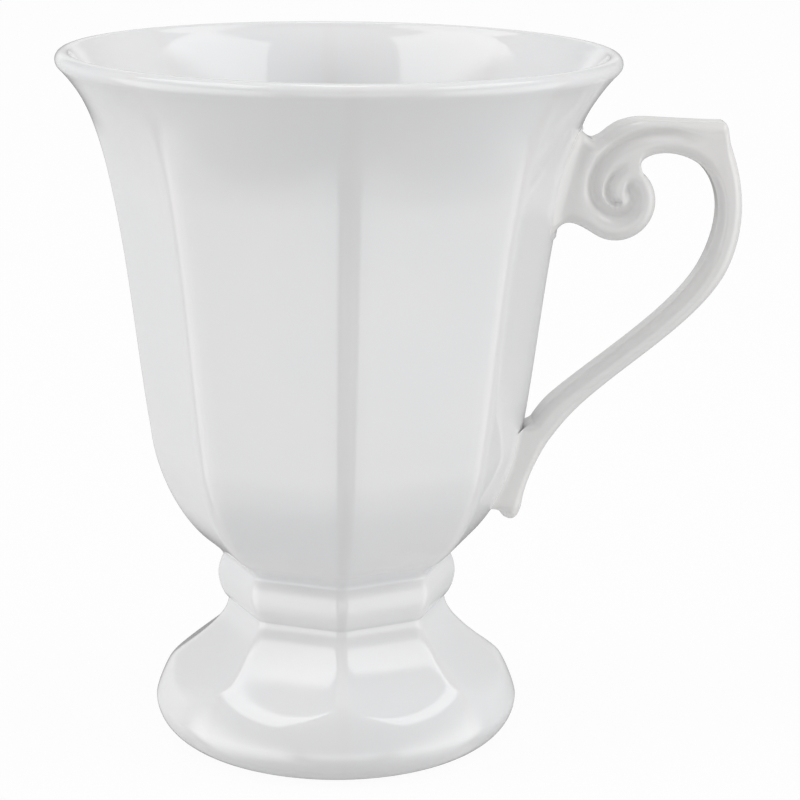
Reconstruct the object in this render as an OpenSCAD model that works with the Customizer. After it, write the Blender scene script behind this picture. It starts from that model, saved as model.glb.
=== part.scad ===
// Footed mug of white glazed porcelain: a panelled bowl with a round flared lip, a moulded
// knop on a hollow bell foot, and a scroll handle luted to one ridge of the bowl.
// The mug's axis is Z, the table is z = 0 and the handle points along +X.

/* [Foot] */
// Widest radius of the round base
base_r = 32; // [30:0.5:34]
// Height of the widest ring of the base above the table
base_h = 5.8; // [5:0.2:7]
// Outer radius of the foot ring that the mug stands on
rest_r = 26.4; // [25:0.2:28]
// Width of the flat face of the foot ring
rest_w = 3.2; // [2:0.2:4]
// Height that the round dome over the base would reach if the panels did not cut it
dome_h = 28; // [26:0.5:31]
// Radius that the ridges between the panels run out to inside the dome
panel_r = 34.8; // [33:0.2:38]
// Height at which the ridges run out
panel_h = 9.2; // [8:0.2:10.4]
// Ridge radius of the neck under the knop
neck_r = 19.1; // [18:0.1:20.4]
// Height of the neck above the table
neck_h = 23.5; // [22:0.5:25]
// Ridge radius of the knop
knop_r = 20.9; // [20.5:0.1:22]
// Height of the knop, from the neck to the bowl
knop_h = 9.1; // [8:0.1:10.5]
// Thickness of the walls of the foot
foot_wall = 3.9; // [3:0.1:4.5]

/* [Bowl] */
// Ridge radius of the crease where the bowl sits on the knop
seat_r = 19.4; // [18.6:0.1:20.2]
// Height of the bowl, from the crease to the lip
bowl_h = 87.4; // [84:0.2:91]
// Ridge radius where the rounded bottom of the bowl turns into the wall
belly_r = 32.4; // [31:0.1:33.6]
// Height of that turn above the crease
belly_h = 21.6; // [20:0.2:24]
// Ridge radius of the throat where the lip begins to flare
throat_r = 38.5; // [37:0.1:40]
// Height of the throat above the crease
throat_h = 64.3; // [62:0.1:67]
// Widest radius of the lip
lip_r = 47.4; // [45.5:0.1:49]
// Radius of the rounded edge of the lip
lip_bead = 1.5; // [1.2:0.05:1.8]
// Height above the crease at which the ridges begin to fade into the round lip
fade_low_h = 66; // [62:0.5:69]
// Height above the crease at which they have faded out
fade_high_h = 84; // [80:0.5:86.5]
// Thickness of the wall of the bowl
wall = 2.9; // [2.4:0.1:3.3]
// Thickness of the floor of the bowl
floor_t = 3.9; // [3.2:0.1:4.6]

/* [Panels] */
// Number of panels round the mug
panels = 8; // [6:2:12]
// Sharpness of the ridges between the panels
ridge_sharp = 60; // [40:5:90]

/* [Handle] */
// Distance that the handle stands out from the wall of the bowl
handle_reach = 30; // [28:0.5:33]
// Height of the handle, from the tip of its tail to its thumb rest
handle_h = 70.8; // [68:0.1:72]
// Height of the tip of the tail above the crease of the bowl
tail_h = 5.2; // [4.6:0.1:6.6]
// Thickness of the strap between its inner and outer faces
strap_t = 5.1; // [4.4:0.1:5.8]
// Width of the strap and of the arm above it
strap_w = 7.4; // [6.8:0.1:8.4]
// Width across the scroll and the root
scroll_w = 9; // [8:0.1:10]
// Radius of the scroll
scroll_r = 6.65; // [6.2:0.05:7]
// Width of the tail
tail_w = 6; // [5.2:0.1:7]
// Radius of the rounded edges of the handle
edge_r = 2.3; // [1.8:0.1:2.6]
// Depth of the grooves that draw the spiral
groove_d = 1.1; // [0.7:0.05:1.3]
// Half width of the outer groove
groove_w = 1.15; // [0.9:0.05:1.4]

/* [Slip joints] */
// Thickness of the layer of slip that joins two pieces
slip_t = 0.4; // [0.3:0.05:0.6]
// Width of the bead of slip that stands out round the roots of the handle
bead = 0.6; // [0.4:0.05:0.9]
// Depth of the crease at the joint of bowl and foot
crease_d = 0.4; // [0.2:0.05:0.6]
// Play between the slip and the curved wall of the bowl
play = 0.06; // [0.04:0.01:0.1]

/* [Hidden] */

seat_h = neck_h + knop_h;
mug_h = seat_h + bowl_h;
glaze = "#f4f4f2";
slip_white = "#efefec";

// Shares of a turn and of a panel, and counts of the steps that draw a curve
step = 360 / panels;
even_shares = [0, 1 / 6, 1 / 3, 1 / 2, 2 / 3, 5 / 6];
ridge_shares = [0, 0.045, 0.12, 0.5, 0.88, 0.955];

// Curve through two ends, whose two inner points are given as shares of the way between them
function between(a, b, share) = [a.x + (b.x - a.x) * share.x, a.y + (b.y - a.y) * share.y];
function bezier(p, t) =
    pow(1 - t, 3) * p[0] + 3 * t * pow(1 - t, 2) * p[1] + 3 * t * t * (1 - t) * p[2] + pow(t, 3) * p[3];
function curve(a, b, near_share, far_share, t) =
    bezier([a, between(a, b, near_share), between(a, b, far_share), b], t);
function ease(low, high, x) = let (t = min(max((x - low) / (high - low), 0), 1)) t * t * (3 - 2 * t);
function blend(a, b, t) = a + (b - a) * t;

// Radius of the panelled outline at angle a, as a share of its ridge radius; one ridge lies on +X
function panel_share(a) =
    let (d = abs(a - step * round(a / step)),
         faces = pow(cos(step / 2 - d), ridge_sharp) + pow(cos(step / 2 + d), ridge_sharp))
    cos(step / 2) * pow(faces / 2, -1 / ridge_sharp);

// Angles round the mug, closer together at the ridges as the panels grow plainer
function angles(crisp) =
    [for (k = [0:panels - 1]) for (j = [0:len(even_shares) - 1])
        step * (k + blend(even_shares[j], ridge_shares[j], crisp))];
function ring(r, z, crisp) =
    [for (a = angles(crisp)) let (s = r * blend(1, panel_share(a), crisp)) [s * cos(a), s * sin(a), z]];

// Closed skin over a stack of rings with as many points each; flat caps close both ends
module skin(rings) {
    n = len(rings[0]);
    top = n * (len(rings) - 1);
    side = [for (i = [0:len(rings) - 2]) for (j = [0:n - 1])
        let (a = i * n + j, b = i * n + (j + 1) % n) each [[a, b + n, b], [a, a + n, b + n]]];
    caps = [for (j = [1:n - 2]) each [[0, j, j + 1], [top, top + j + 1, top + j]]];
    polyhedron([for (r = rings) each r], concat(side, caps));
}

// Outline of the bowl outside, as [radius, height]
seat_p = [seat_r, seat_h];
belly_p = [belly_r, seat_h + belly_h];
throat_p = [throat_r, seat_h + throat_h];
lip_c = [lip_r - lip_bead, mug_h - lip_bead];
lip_turn = -45;
lip_angles = [-22, 0, 24, 48, 69, 90, 113];
lip_p = lip_c + lip_bead * [cos(lip_turn), sin(lip_turn)];
belly_near_share = [0.454, 0.065];
belly_far_share = [0.93, 0.575];
wall_near_share = [0.375, 0.345];
wall_far_share = [0.525, 0.665];
flare_near_share = [0.165, 0.34];
flare_far_share = [0.42, 0.77];

// Point of the outline at u, which runs from 0 at the crease over 1 at the belly and 2 at the
// throat to 3 at the lip
function bowl_line(u) =
    u < 1 ? curve(seat_p, belly_p, belly_near_share, belly_far_share, u)
    : u < 2 ? curve(belly_p, throat_p, wall_near_share, wall_far_share, u - 1)
    : curve(throat_p, lip_p, flare_near_share, flare_far_share, u - 2);
function bowl_line_in(u) =
    let (tiny = 0.01, d = bowl_line(min(u + tiny, 3)) - bowl_line(max(u - tiny, 0)))
    bowl_line(u) + wall * [-d.y, d.x] / norm(d);
function crisp_at(z) = 1 - ease(seat_h + fade_low_h, seat_h + fade_high_h, z);

bowl_stops = concat([for (i = [0:8]) i / 8], [for (i = [1:6]) 1 + i / 6], [for (i = [1:8]) 2 + i / 8]);
bowl_stops_in = [for (i = [len(bowl_stops) - 1:-1:2]) bowl_stops[i]];
inner_crisp_share = 0.8;
floor_r = bowl_line_in(bowl_stops_in[len(bowl_stops_in) - 1]).x;
floor_shares = [0.85, 0.55, 0.2];

module bowl() {
    outside = [for (u = bowl_stops) let (p = bowl_line(u)) ring(p.x, p.y, crisp_at(p.y))];
    lip = [for (a = lip_angles) let (p = lip_c + lip_bead * [cos(a), sin(a)]) ring(p.x, p.y, 0)];
    inside = [for (u = bowl_stops_in) let (p = bowl_line_in(u))
        ring(p.x, p.y, inner_crisp_share * crisp_at(p.y))];
    floor = [for (s = floor_shares) ring(floor_r * s, seat_h + floor_t, inner_crisp_share * s * s)];
    color(glaze) skin(concat(outside, lip, inside, floor));
}

// Outline of the foot: the round dome and base, and the panels that cut the dome
neck_p = [neck_r, neck_h];
rest_p = [rest_r, 0];
base_p = [base_r, base_h];
knop_p = [knop_r, neck_h + knop_h * 0.52];
panel_p = [panel_r, panel_h];
foot_top_p = [seat_r, seat_h - slip_t];
base_near_share = [0.57, 0.03];
base_far_share = [1, 0.52];
panel_near_share = [0.013, 0.21];
panel_far_share = [0.223, 0.47];
knop_near_share = [0.6, 0.2];
knop_far_share = [1, 0.62];
knop_over_near_share = [0, 0.35];
knop_over_far_share = [0.55, 0.85];
dome_bow = 1.25;

function dome_line(z) = base_r * sqrt(1 - pow(max(z - base_h, 0) / dome_h, dome_bow));
function foot_ring(p) =
    let (fade = 1 - ease(base_h, panel_h, p.y))
    [for (a = angles(1 - fade))
        let (panel = pow(p.x * panel_share(a), -ridge_sharp), dome = pow(dome_line(p.y), -ridge_sharp),
             r = blend(pow(panel + dome, -1 / ridge_sharp), dome_line(p.y), fade))
        [r * cos(a), r * sin(a), p.y]];

// Hollow of the foot: a bell that narrows to the neck, and a round vault under the bowl
cavity_p = [rest_r - rest_w, 0];
cavity_neck_share = 0.8;
cavity_neck_p = [neck_r - foot_wall, neck_h * cavity_neck_share];
cavity_near_share = [-0.14, 0.3];
cavity_far_share = [0.75, 0.5];
vault_z = seat_h - slip_t - foot_wall;
vault_shares = [[1, 0.3], [0.97, 0.6], [0.84, 0.86], [0.55, 0.97], [0.2, 1]];

module foot() {
    vault = [for (i = [len(vault_shares) - 1:-1:0]) let (s = vault_shares[i])
        [cavity_neck_p.x * s.x, blend(cavity_neck_p.y, vault_z, s.y)]];
    hollow = [for (i = [7:-1:0]) curve(cavity_p, cavity_neck_p, cavity_near_share, cavity_far_share, i / 7)];
    roll = [for (i = [0:5]) curve(rest_p, base_p, base_near_share, base_far_share, i / 5)];
    cut = [for (i = [13:-1:1]) curve(neck_p, panel_p, panel_near_share, panel_far_share, i / 13)];
    knop_low = [for (i = [0:5]) curve(neck_p, knop_p, knop_near_share, knop_far_share, i / 5)];
    knop_top = [for (i = [1:5]) curve(knop_p, foot_top_p, knop_over_near_share, knop_over_far_share, i / 5)];
    color(glaze) skin(concat(
        [for (p = concat(vault, hollow, roll)) ring(p.x, p.y, 0)],
        [for (i = [1:2]) foot_ring(between(base_p, panel_p, [i / 3, i / 3]))],
        [for (p = cut) foot_ring(p)],
        [for (p = concat(knop_low, knop_top)) ring(p.x, p.y, 1)]));
}

module foot_slip_joint() {
    color(slip_white) skin([for (z = [seat_h - slip_t, seat_h]) ring(seat_r - crease_d, z, 1)]);
}

// Where the wall of the bowl lies, on which the handle is set: the ridge radius over the height,
// the skin of the panelled wall beside the ridge, and the straight line between the two roots
wall_table = concat([for (u = bowl_stops) let (p = bowl_line(u)) [p.y, p.x]],
    [for (a = lip_angles) if (a < 45) let (p = lip_c + lip_bead * [cos(a), sin(a)]) [p.y, lip_r]]);
function wall_at(z) = lookup(z, wall_table);
function skin_share(a, z) = blend(1, panel_share(a), crisp_at(z));
function skin_x(y, z) =
    let (r = wall_at(z), a = asin(y / r), b = asin(y / (r * skin_share(a, z))))
    r * skin_share(b, z) * cos(b);
tail_z = seat_h + tail_h;
root_low_share = 0.16;
root_high_share = 0.84;
low_z = tail_z + root_low_share * handle_h;
high_z = tail_z + root_high_share * handle_h;
function wall_line(z) = blend(wall_at(low_z), wall_at(high_z), (z - low_z) / (high_z - low_z));

// Points of the handle's outline in its own plane, from shares of its reach and height, from
// shares of the scroll's radius round its middle, or as inner points a share of the strap's
// thickness away from outer ones
function place(share) =
    let (z = tail_z + share.y * handle_h) [wall_line(z) + share.x * handle_reach, z];
scroll_c = place([0.303, 0.801]);
eye_p = place([0.314, 0.814]);
function places(shares) = [for (s = shares) place(s)];
function rounds(shares) = [for (s = shares) scroll_c + scroll_r * s];
function inner(outer, shares) = [for (i = [0:3]) outer[i] + strap_t * shares[i]];
function arc_shares(a, b) =
    let (h = 4 / 3 * tan((b - a) / 4))
    [[cos(a), sin(a)], [cos(a) - h * sin(a), sin(a) + h * cos(a)],
     [cos(b) + h * sin(b), sin(b) - h * cos(b)], [cos(b), sin(b)]];

root_shares = [[0.023, 0.975], [0.062, 0.964], [0.085, 0.952], [0.114, 0.951]];
root_in_shares = [[-1.649, -0.94], [-1.358, -0.363], [-1.095, -0.496], [cos(238), sin(238)]];
scroll_shares = [[0.114, 0.951], [0.128, 0.95], [0.139, 0.954], [0.1535, 0.957]];
scroll_over_shares = [[0.1535, 0.957], [0.1655, 0.959], [0.176, 0.964], [0.191, 0.97]];
notch_shares = [[0.191, 0.97], [0.2175, 0.98], [0.241, 0.987], [0.266, 0.991]];
notch_in_shares = [[cos(400), sin(400)], [0.731, 0.685], [0.728, 0.659], [0.693, 0.694]];
lip_shares = [[0.266, 0.991], [0.315, 0.998], [0.3495, 1], [0.3965, 0.999]];
lip_in_shares = [[0.693, 0.694], [0.633, 0.753], [0.483, 0.974]];
arm_shares = [[0.3965, 0.999], [0.542, 0.997], [0.698, 0.994], [0.83, 0.9935]];
arm_in_shares = [[-0.076, -1.301], [-0.419, -0.898], [-0.197, -1.046], [-0.471, -1.665]];
thumb_shares = [[0.83, 0.9935], [0.877, 0.993], [0.875, 0.961], [0.913, 0.931]];
thumb_in_shares = [[-0.471, -1.665], [-0.592, -1.854], [-0.414, -1.6], [-0.496, -1.41]];
crook_shares = [[0.913, 0.931], [1.021, 0.8455], [1.0945, 0.74], [1.026, 0.6375]];
crook_in_shares = [[-0.496, -1.41], [-0.665, -1.045], [-1.161, -0.558], [-0.876, 0.172]];
strap_shares = [[1.026, 0.6375], [0.938, 0.506], [0.513, 0.397], [0.293, 0.285]];
strap_in_shares = [[-0.876, 0.172], [-0.869, 0.353], [-0.762, 0.206], [-0.801, 0.381]];
tail_shares = [[0.293, 0.285], [0.167, 0.221], [0.065, 0.122], [0.075, 0.042]];
tail_in_shares = [[-0.801, 0.381], [-0.712, 0.579], [-0.614, 0.478], [-0.826, 0.173]];
tip_shares = [[0.075, 0.042], [0.078, 0.013], [0.056, 0], [0.03, 0.001]];
tip_in_shares = [[-0.826, 0.173], [-0.867, 0.22], [-0.51, 0.167], [-0.291, 0.108]];
arm_low = inner(places(arm_shares), arm_in_shares);
lip_low = concat(rounds(lip_in_shares), [arm_low[0]]);
root_w = scroll_w * 0.85;
tip_w = tail_w * 0.6;

// Stretches of the handle from the root to the tip: number of sections, outer and inner curve,
// how far the lines across bow towards the scroll as a share of its radius, the width, and
// whether it may lie on the wall
stretches = [
    [5, places(root_shares), rounds(root_in_shares), [0, -0.16], [root_w, scroll_w], false],
    [7, places(scroll_shares), rounds(arc_shares(238, 319)), [-0.16, -0.3], [scroll_w, scroll_w], false],
    [6, places(scroll_over_shares), rounds(arc_shares(319, 400)), [-0.3, -0.4], [scroll_w, scroll_w], false],
    [3, places(notch_shares), rounds(notch_in_shares), [-0.4, -0.24], [scroll_w, scroll_w], false],
    [3, places(lip_shares), lip_low, [-0.24, 0], [scroll_w, scroll_w], false],
    [5, places(arm_shares), arm_low, [0, 0], [scroll_w, strap_w], false],
    [4, places(thumb_shares), inner(places(thumb_shares), thumb_in_shares), [0, 0], [strap_w, strap_w], false],
    [5, places(crook_shares), inner(places(crook_shares), crook_in_shares), [0, 0], [strap_w, strap_w], false],
    [7, places(strap_shares), inner(places(strap_shares), strap_in_shares), [0, 0], [strap_w, strap_w], true],
    [7, places(tail_shares), inner(places(tail_shares), tail_in_shares), [0, 0], [strap_w, tail_w], true],
    [3, places(tip_shares), inner(places(tip_shares), tip_in_shares), [0, 0], [tail_w, tip_w], true]];

// The inner side of the strap and the tail is pressed on to the wall where it comes near enough
press_share = 3;
function pressed(p) = p.x - skin_x(0, p.y) < press_share * slip_t;

// Sections as [outer point, middle of the line across, inner point, width, whether it lies on the wall]
sections = [for (k = [0:len(stretches) - 1]) let (s = stretches[k])
    for (i = [min(k, 1):s[0]])
        let (t = i / s[0], o = bezier(s[1], t), near = bezier(s[2], t), laid = s[5] && pressed(near),
             n = laid ? [skin_x(0, near.y) + slip_t, near.y] : near, d = (n - o) / norm(n - o),
             bow = scroll_r * blend(s[3][0], s[3][1], t))
        [o, (o + n) / 2 + bow * [-d.y, d.x], n, blend(s[4][0], s[4][1], ease(0, 1, t)), laid]];

// Depth of the spiral grooves at point p of the side
function groove(rho, line, w) = exp(-pow((rho - line) / w, 2));
function outer_groove(rho, a) =
    groove(rho, scroll_r * (0.314 + 1.647 * exp((58 - a) / 80)), groove_w)
    * ease(32, 60, a) * (1 - ease(405, 440, a));
function inner_groove(rho, a) =
    groove(rho, scroll_r * 0.967 * exp((63.4 - a) / 95), groove_w * 0.7)
    * ease(66, 120, a) * (1 - ease(230, 280, a));
function relief(p) =
    let (d = p - eye_p, rho = norm(d), a = atan2(d.y, d.x), b = a < 32 ? a + 360 : a)
    groove_d * max(outer_groove(rho, b), outer_groove(rho, b + 360), 0.75 * inner_groove(rho, b));

// One side of a section from the outer face to the inner one: rounded edge, flat side, rounded edge
side_steps = 16;
edge_angles = [0, 22.5, 45, 67.5, 90];
edge_share = 0.46;
function side_of(sec) =
    let (o = sec[0], m = sec[1], n = sec[2], w = sec[3],
         l = (norm(n - o) + norm(m - o) + norm(n - m)) / 2,
         e = min(edge_r, edge_share * l, edge_share * w),
         marks = concat(
            [for (a = edge_angles) [e * (1 - cos(a)), w / 2 - e * (1 - sin(a))]],
            [for (k = [1:side_steps - 1]) [e + (l - 2 * e) * k / side_steps, w / 2]],
            [for (a = edge_angles) [l - e * (1 - sin(a)), w / 2 - e * (1 - cos(a))]]))
    [for (q = marks) let (t = q[0] / l, p = (1 - t) * (1 - t) * o + 2 * t * (1 - t) * m + t * t * n)
        [p.x, relief(p) - q[1], p.y]];

// Ring of points round a section: one side, the inner face, the other side, the outer face
side_n = 2 * len(edge_angles) + side_steps - 1;
face_shares = [0.5, 0, -0.5];
across_shares = [1, 0.5, 0, -0.5, -1];
function across(p, share) = [p.x, p.y * share, p.z];
function on_skin(p, off) = [skin_x(p.y, p.z) + off, p.y, p.z];
function ring_round(side) = concat(side,
    [for (s = face_shares) across(side[side_n - 1], s)],
    [for (j = [side_n - 1:-1:0]) across(side[j], -1)],
    [for (s = face_shares) across(side[0], -s)]);
function handle_ring(k) =
    let (r = ring_round(side_of(sections[k])), laid = sections[k][4])
    [for (j = [0:len(r) - 1])
        k == 0 || laid && j > side_n - 2 && j < side_n + 4 ? on_skin(r[j], slip_t) : r[j]];

// Rows of points across an end of the handle, and their places in its list of points
function cap_rows(side) = [for (p = side) [for (s = across_shares) across(p, s)]];
function cap_place(first, extra, j, c) =
    c == 0 ? first + j
    : c == 4 ? first + 2 * side_n + 2 - j
    : j == 0 ? first + 2 * side_n + 6 - c
    : j == side_n - 1 ? first + side_n + c - 1
    : extra + 3 * (j - 1) + c - 1;
function cap_faces(first, extra, turned) = [for (j = [0:side_n - 2]) for (c = [0:3])
    let (a = cap_place(first, extra, j, c), b = cap_place(first, extra, j + 1, c),
         d = cap_place(first, extra, j + 1, c + 1), e = cap_place(first, extra, j, c + 1))
    each (turned ? [[a, d, b], [a, e, d]] : [[a, b, d], [a, d, e]])];
function cap_middle(side) = [for (j = [1:side_n - 2]) for (s = face_shares) across(side[j], s)];

root_side = side_of(sections[0]);
tip_side = side_of(sections[len(sections) - 1]);

module handle() {
    rings = [for (k = [0:len(sections) - 1]) handle_ring(k)];
    n = len(rings[0]);
    last = n * (len(rings) - 1);
    root_middle = [for (p = cap_middle(root_side)) on_skin(p, slip_t)];
    tip_middle = cap_middle(tip_side);
    side = [for (i = [0:len(rings) - 2]) for (j = [0:n - 1])
        let (a = i * n + j, b = i * n + (j + 1) % n) each [[a, b + n, b], [a, a + n, b + n]]];
    color(glaze) polyhedron(
        concat([for (r = rings) each r], root_middle, tip_middle),
        concat(side, cap_faces(0, last + n, false), cap_faces(last, last + n + len(root_middle), true)));
}

// Layer of slip under a grid of the handle's own points, which spreads over the wall of the bowl
// by the bead all round
module slip_pad(grid) {
    rows = len(grid);
    cols = len(grid[0]);
    n = rows * cols;
    top = [for (g = grid) each g];
    half_y = max([for (p = top) p.y]);
    low = min([for (p = top) p.z]);
    high = max([for (p = top) p.z]);
    mid = (low + high) / 2;
    under = [for (p = top) on_skin([p.x, p.y * (1 + bead / half_y),
        mid + (p.z - mid) * (1 + 2 * bead / (high - low))], play)];
    border = concat([for (c = [0:cols - 1]) c], [for (r = [1:rows - 1]) r * cols + cols - 1],
        [for (c = [cols - 2:-1:0]) (rows - 1) * cols + c], [for (r = [rows - 2:-1:1]) r * cols]);
    sheet = [for (r = [0:rows - 2]) for (c = [0:cols - 2]) let (a = r * cols + c)
        each [[a, a + cols + 1, a + cols], [a, a + 1, a + cols + 1]]];
    edge = [for (i = [0:len(border) - 1]) let (a = border[i], b = border[(i + 1) % len(border)])
        each [[a, b + n, b], [a, a + n, b + n]]];
    color(slip_white) polyhedron(concat(top, under),
        concat(sheet, [for (f = sheet) [f[0] + n, f[2] + n, f[1] + n]], edge));
}

module handle_upper_slip_joint() {
    slip_pad([for (row = cap_rows(root_side)) [for (p = row) on_skin(p, slip_t)]]);
}

// The rows of a grid with one more halfway between each two, so that the layer under it keeps
// close to the curve of the wall
function doubled(grid) = [for (i = [0:2 * len(grid) - 2])
    (grid[floor(i / 2)] + grid[ceil(i / 2)]) / 2];

module handle_lower_slip_joint() {
    slip_pad(doubled([for (sec = sections) if (sec[4]) let (p = side_of(sec)[side_n - 1])
        [for (s = across_shares) on_skin(across(p, s), slip_t)]]));
}

bowl();
foot();
foot_slip_joint();
handle();
handle_upper_slip_joint();
handle_lower_slip_joint();
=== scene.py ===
"""Footed mug of white glazed porcelain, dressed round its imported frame."""

import logging
import math
from dataclasses import dataclass, field
from enum import Enum
from functools import cached_property

import bmesh
import bpy
from mathutils import Matrix, Vector


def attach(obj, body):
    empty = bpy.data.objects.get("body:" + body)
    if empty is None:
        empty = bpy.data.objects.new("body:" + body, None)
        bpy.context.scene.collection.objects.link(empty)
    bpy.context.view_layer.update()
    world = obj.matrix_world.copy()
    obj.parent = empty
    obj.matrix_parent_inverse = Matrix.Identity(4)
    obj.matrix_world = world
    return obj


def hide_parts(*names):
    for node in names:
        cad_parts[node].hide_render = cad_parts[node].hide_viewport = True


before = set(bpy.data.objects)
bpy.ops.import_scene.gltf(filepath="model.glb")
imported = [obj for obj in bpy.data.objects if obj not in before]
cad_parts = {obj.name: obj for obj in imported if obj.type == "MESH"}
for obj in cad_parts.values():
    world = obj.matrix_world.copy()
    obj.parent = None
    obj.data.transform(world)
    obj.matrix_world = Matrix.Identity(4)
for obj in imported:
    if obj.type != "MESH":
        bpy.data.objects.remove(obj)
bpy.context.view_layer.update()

log = logging.getLogger("mug")
MM = 0.001

Point = tuple[float, float]
Line = list[Point]
Colour = tuple[float, float, float]
Tree = bpy.types.NodeTree
Socket = bpy.types.NodeSocket
Value = Socket | Colour | float
Ring = list[Vector]


def between(a: Point, b: Point, share: Point) -> Point:
    """Point at a share of the way from a to b, along and up."""
    return (a[0] + (b[0] - a[0]) * share[0], a[1] + (b[1] - a[1]) * share[1])


def curve(a: Point, b: Point, near: Point, far: Point) -> Line:
    """Control points of a cubic curve from a to b; near and far are shares of the way between them."""
    return [a, between(a, b, near), between(a, b, far), b]


def bezier(points: Line, t: float) -> Point:
    """Point of a cubic curve.

    Args:
        points: the four control points.
        t: the place along the curve, from 0 to 1.

    Returns:
        The point as (radius, height).
    """
    a, b, c, d = (1 - t) ** 3, 3 * t * (1 - t) ** 2, 3 * t * t * (1 - t), t**3
    return tuple(a * p + b * q + c * r + d * s for p, q, r, s in zip(*points))


def ease(low: float, high: float, x: float) -> float:
    """Smooth step from 0 at low to 1 at high."""
    t = min(max((x - low) / (high - low), 0.0), 1.0)
    return t * t * (3 - 2 * t)


def blend(ends: Point, t: float) -> float:
    """Value between two ends, at a share of the way."""
    return ends[0] + (ends[1] - ends[0]) * t


def direction(azimuth: float, elevation: float) -> Vector:
    """Way out from the mug, in degrees: azimuth 0 is in front of it and 90 to the right."""
    a, e = math.radians(azimuth), math.radians(elevation)
    return Vector((math.sin(a) * math.cos(e), -math.cos(a) * math.cos(e), math.sin(e)))


def object_mode() -> None:
    """Leaves edit mode, if an object is in it."""
    if bpy.context.object and bpy.context.object.mode != "OBJECT":
        bpy.ops.object.mode_set(mode="OBJECT")


def only(piece: bpy.types.Object) -> None:
    """Makes one object the only selected and active one.

    Args:
        piece: the object.
    """
    object_mode()
    bpy.ops.object.select_all(action="DESELECT")
    piece.select_set(True)
    bpy.context.view_layer.objects.active = piece


def edit(piece: bpy.types.Object) -> None:
    """Opens one object in edit mode."""
    only(piece)
    bpy.ops.object.mode_set(mode="EDIT")


def pick_rims(piece: bpy.types.Object, low: float = -1.0, high: float = 1.0) -> None:
    """Selects the open edges of a mesh that lie between two heights.

    Args:
        piece: the object, in edit mode.
        low: the edges lie higher than this, in metres.
        high: the edges lie lower than this, in metres.
    """
    bpy.ops.mesh.select_mode(type="EDGE")
    bpy.ops.mesh.select_all(action="DESELECT")
    mesh = bmesh.from_edit_mesh(piece.data)
    for edge in mesh.edges:
        if edge.is_boundary and all(low < v.co.z < high for v in edge.verts):
            edge.select_set(True)
    bmesh.update_edit_mesh(piece.data)


def finish_shell(piece: bpy.types.Object, angle: float, weld: float = 0.0) -> None:
    """Turns all faces of a mesh in edit mode outwards, leaves edit mode and smooths the shading.

    Args:
        piece: the object.
        angle: edges flatter than this, in degrees, are shaded smooth.
        weld: points closer than this, in metres, become one; none do at 0.
    """
    bpy.ops.mesh.select_all(action="SELECT")
    if weld:
        bpy.ops.mesh.remove_doubles(threshold=weld)
    bpy.ops.mesh.normals_make_consistent(inside=False)
    only(piece)
    bpy.ops.object.shade_smooth_by_angle(angle=math.radians(angle))


class Skin(Enum):
    """Skins of the mug, by the record's material slots."""

    GLAZE = "glazed_porcelain"
    SLIP = "slip"


class Mix(Enum):
    """What a mix node mixes, then the numbers of its two inputs and of its output."""

    COLOUR = ("RGBA", 6, 7, 2)
    NUMBER = ("FLOAT", 2, 3, 0)


def shader_group(name: str, inputs: dict[str, float], outputs: list[str]) -> Tree:
    """Empty shader node group with float sockets.

    Args:
        name: the group's name.
        inputs: each input's name and value.
        outputs: the outputs' names.

    Returns:
        The node tree, with its group input and output nodes.
    """
    tree = bpy.data.node_groups.new(name, "ShaderNodeTree")
    for key, value in inputs.items():
        socket = tree.interface.new_socket(key, in_out="INPUT", socket_type="NodeSocketFloat")
        socket.default_value = value
    for key in outputs:
        tree.interface.new_socket(key, in_out="OUTPUT", socket_type="NodeSocketFloat")
    tree.nodes.new("NodeGroupInput").name = "in"
    tree.nodes.new("NodeGroupOutput").name = "out"
    return tree


def feed(tree: Tree, socket: Socket, value: Value) -> None:
    """Links a socket to an input, or writes a number or a colour into it.

    Args:
        tree: the tree that both are in.
        socket: the input.
        value: what goes into it.
    """
    if isinstance(value, bpy.types.NodeSocket):
        tree.links.new(value, socket)
    elif isinstance(value, tuple):
        socket.default_value = (*value, 1.0)
    else:
        socket.default_value = value


def math_node(tree: Tree, operation: str, *values: Value) -> Socket:
    """Math node.

    Args:
        tree: the tree that gets the node.
        operation: Blender's name of the operation.
        values: its inputs in order, each a socket or a number.

    Returns:
        The node's output socket.
    """
    node = tree.nodes.new("ShaderNodeMath")
    node.operation = operation
    for socket, value in zip(node.inputs, values):
        feed(tree, socket, value)
    return node.outputs[0]


def mix_node(tree: Tree, kind: Mix, factor: Socket, a: Value, b: Value) -> Socket:
    """Mix of two values.

    Args:
        tree: the tree that gets the node.
        kind: whether colours or numbers are mixed.
        factor: the share of b, from 0 to 1.
        a: the value where the factor is 0.
        b: the value where it is 1.

    Returns:
        The node's output socket.
    """
    node = tree.nodes.new("ShaderNodeMix")
    node.data_type, first, second, result = kind.value
    tree.links.new(factor, node.inputs[0])
    feed(tree, node.inputs[first], a)
    feed(tree, node.inputs[second], b)
    return node.outputs[result]


def step_node(tree: Tree, value: Socket, low: float, high: float) -> Socket:
    """Smooth step of a socket, which may rise or fall.

    Args:
        tree: the tree that gets the node.
        value: the socket.
        low: where the step is 0.
        high: where the step is 1.

    Returns:
        The node's output socket.
    """
    node = tree.nodes.new("ShaderNodeMapRange")
    node.interpolation_type = "SMOOTHSTEP"
    flip = low > high
    node.inputs["From Min"].default_value = high if flip else low
    node.inputs["From Max"].default_value = low if flip else high
    node.inputs["To Min"].default_value = 1.0 if flip else 0.0
    node.inputs["To Max"].default_value = 0.0 if flip else 1.0
    tree.links.new(value, node.inputs["Value"])
    return node.outputs["Result"]


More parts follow.
